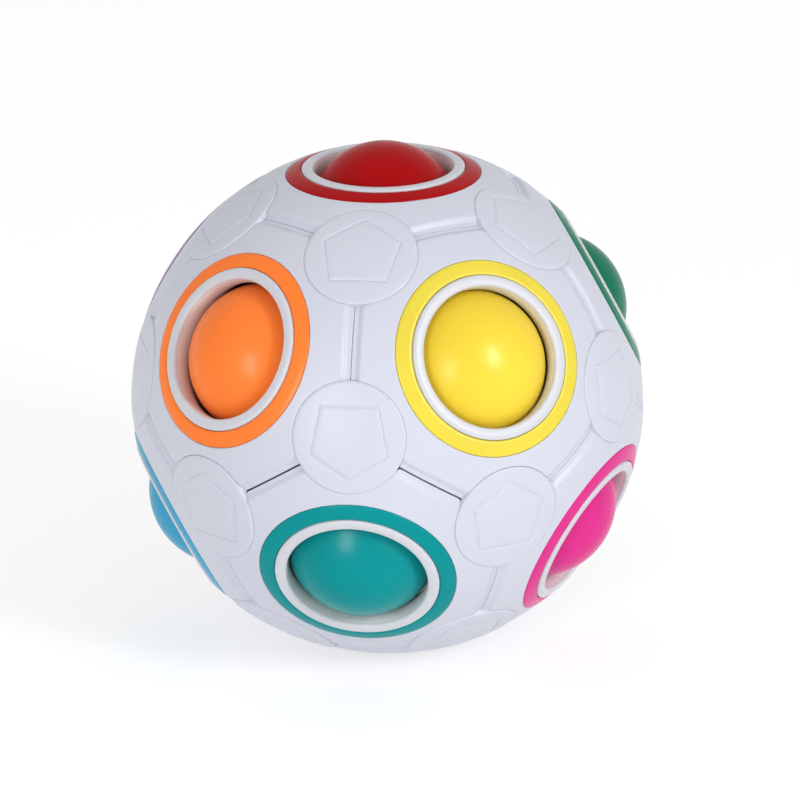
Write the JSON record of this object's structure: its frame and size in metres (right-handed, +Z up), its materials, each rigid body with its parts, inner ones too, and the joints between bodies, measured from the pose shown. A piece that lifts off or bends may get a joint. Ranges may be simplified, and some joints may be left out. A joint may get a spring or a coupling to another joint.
{
  "type": "push-through ball puzzle",
  "caption": "Hollow puzzle ball with coloured balls held in ringed round holes, one hole left empty so that pressed balls can hop from hole to hole.",
  "frame": {"origin": "middle of the flat rim of the lowest collar, on which the puzzle stands", "axes": "+Z up through the puzzle's centre to the red hole; the teal hole faces -Y"},
  "size_m": [0.07, 0.0702, 0.0699],
  "materials": {
    "shell_white": "satin",
    "red_plastic": "semi-gloss",
    "orange_plastic": "semi-gloss",
    "yellow_plastic": "semi-gloss",
    "green_plastic": "semi-gloss",
    "navy_plastic": "semi-gloss",
    "purple_plastic": "semi-gloss",
    "teal_plastic": "semi-gloss",
    "pink_plastic": "semi-gloss",
    "lime_plastic": "semi-gloss",
    "rose_plastic": "semi-gloss",
    "blue_plastic": "semi-gloss",
    "core_rubber": "soft matte",
    "screw_steel": "zinc plated"
  },
  "bodies": {
    "shell": {"red_plate": "shell_white", "red_ring": "red_plastic", "red_collar": "shell_white", "white_plate": "shell_white", "white_ring": "shell_white", "white_collar": "shell_white", "orange_plate": "shell_white", "orange_ring": "orange_plastic", "orange_collar": "shell_white", "yellow_plate": "shell_white", "yellow_ring": "yellow_plastic", "yellow_collar": "shell_white", "green_plate": "shell_white", "green_ring": "green_plastic", "green_collar": "shell_white", "navy_plate": "shell_white", "navy_ring": "navy_plastic", "navy_collar": "shell_white", "purple_plate": "shell_white", "purple_ring": "purple_plastic", "purple_collar": "shell_white", "teal_plate": "shell_white", "teal_ring": "teal_plastic", "teal_collar": "shell_white", "pink_plate": "shell_white", "pink_ring": "pink_plastic", "pink_collar": "shell_white", "lime_plate": "shell_white", "lime_ring": "lime_plastic", "lime_collar": "shell_white", "rose_plate": "shell_white", "rose_ring": "rose_plastic", "rose_collar": "shell_white", "blue_plate": "shell_white", "blue_ring": "blue_plastic", "blue_collar": "shell_white", "core": "core_rubber", "top_caps": "shell_white", "upper_caps": "shell_white", "lower_caps": "shell_white", "bottom_caps": "shell_white", "corner_screws": "screw_steel", "corner_nuts": "shell_white"},
    "red_ball": {"red_ball": "red_plastic"},
    "orange_ball": {"orange_ball": "orange_plastic"},
    "yellow_ball": {"yellow_ball": "yellow_plastic"},
    "green_ball": {"green_ball": "green_plastic"},
    "navy_ball": {"navy_ball": "navy_plastic"},
    "purple_ball": {"purple_ball": "purple_plastic"},
    "teal_ball": {"teal_ball": "teal_plastic"},
    "pink_ball": {"pink_ball": "pink_plastic"},
    "lime_ball": {"lime_ball": "lime_plastic"},
    "rose_ball": {"rose_ball": "rose_plastic"},
    "blue_ball": {"blue_ball": "blue_plastic"}
  },
  "joints": [
    {"name": "red_ball_press", "type": "slide", "parent": "shell", "child": "red_ball", "axis": [0, 0, -1], "range_m": [0, 0.0052], "stiffness_N_per_m": 800, "springref_m": -0.0003, "deforming": ["core"]},
    {"name": "orange_ball_press", "type": "slide", "parent": "shell", "child": "orange_ball", "axis": [0.5257, 0.7236, -0.4472], "range_m": [0, 0.0052], "stiffness_N_per_m": 800, "springref_m": -0.0003},
    {"name": "yellow_ball_press", "type": "slide", "parent": "shell", "child": "yellow_ball", "axis": [-0.5257, 0.7236, -0.4472], "range_m": [0, 0.0052], "stiffness_N_per_m": 800, "springref_m": -0.0003},
    {"name": "green_ball_press", "type": "slide", "parent": "shell", "child": "green_ball", "axis": [-0.8507, -0.2764, -0.4472], "range_m": [0, 0.0052], "stiffness_N_per_m": 800, "springref_m": -0.0003},
    {"name": "navy_ball_press", "type": "slide", "parent": "shell", "child": "navy_ball", "axis": [0, -0.8944, -0.4472], "range_m": [0, 0.0052], "stiffness_N_per_m": 800, "springref_m": -0.0003},
    {"name": "purple_ball_press", "type": "slide", "parent": "shell", "child": "purple_ball", "axis": [0.8507, -0.2764, -0.4472], "range_m": [0, 0.0052], "stiffness_N_per_m": 800, "springref_m": -0.0003},
    {"name": "pink_ball_press", "type": "slide", "parent": "shell", "child": "pink_ball", "axis": [-0.8507, 0.2764, 0.4472], "range_m": [0, 0.0052], "stiffness_N_per_m": 800, "springref_m": -0.0003},
    {"name": "lime_ball_press", "type": "slide", "parent": "shell", "child": "lime_ball", "axis": [-0.5257, -0.7236, 0.4472], "range_m": [0, 0.0052], "stiffness_N_per_m": 800, "springref_m": -0.0003},
    {"name": "rose_ball_press", "type": "slide", "parent": "shell", "child": "rose_ball", "axis": [0.5257, -0.7236, 0.4472], "range_m": [0, 0.0052], "stiffness_N_per_m": 800, "springref_m": -0.0003},
    {"name": "teal_ball_hop", "type": "hinge", "parent": "shell", "child": "teal_ball", "pos_m": [0, -0.02024, 0.0007], "axis": [-1, 0, 0], "range_deg": [0, 79.68]},
    {"name": "blue_ball_hop", "type": "hinge", "parent": "shell", "child": "blue_ball", "pos_m": [-0.01925, -0.00625, 0.0007], "axis": [0.309, -0.9511, 0], "range_deg": [-77.15, 0]}
  ]
}
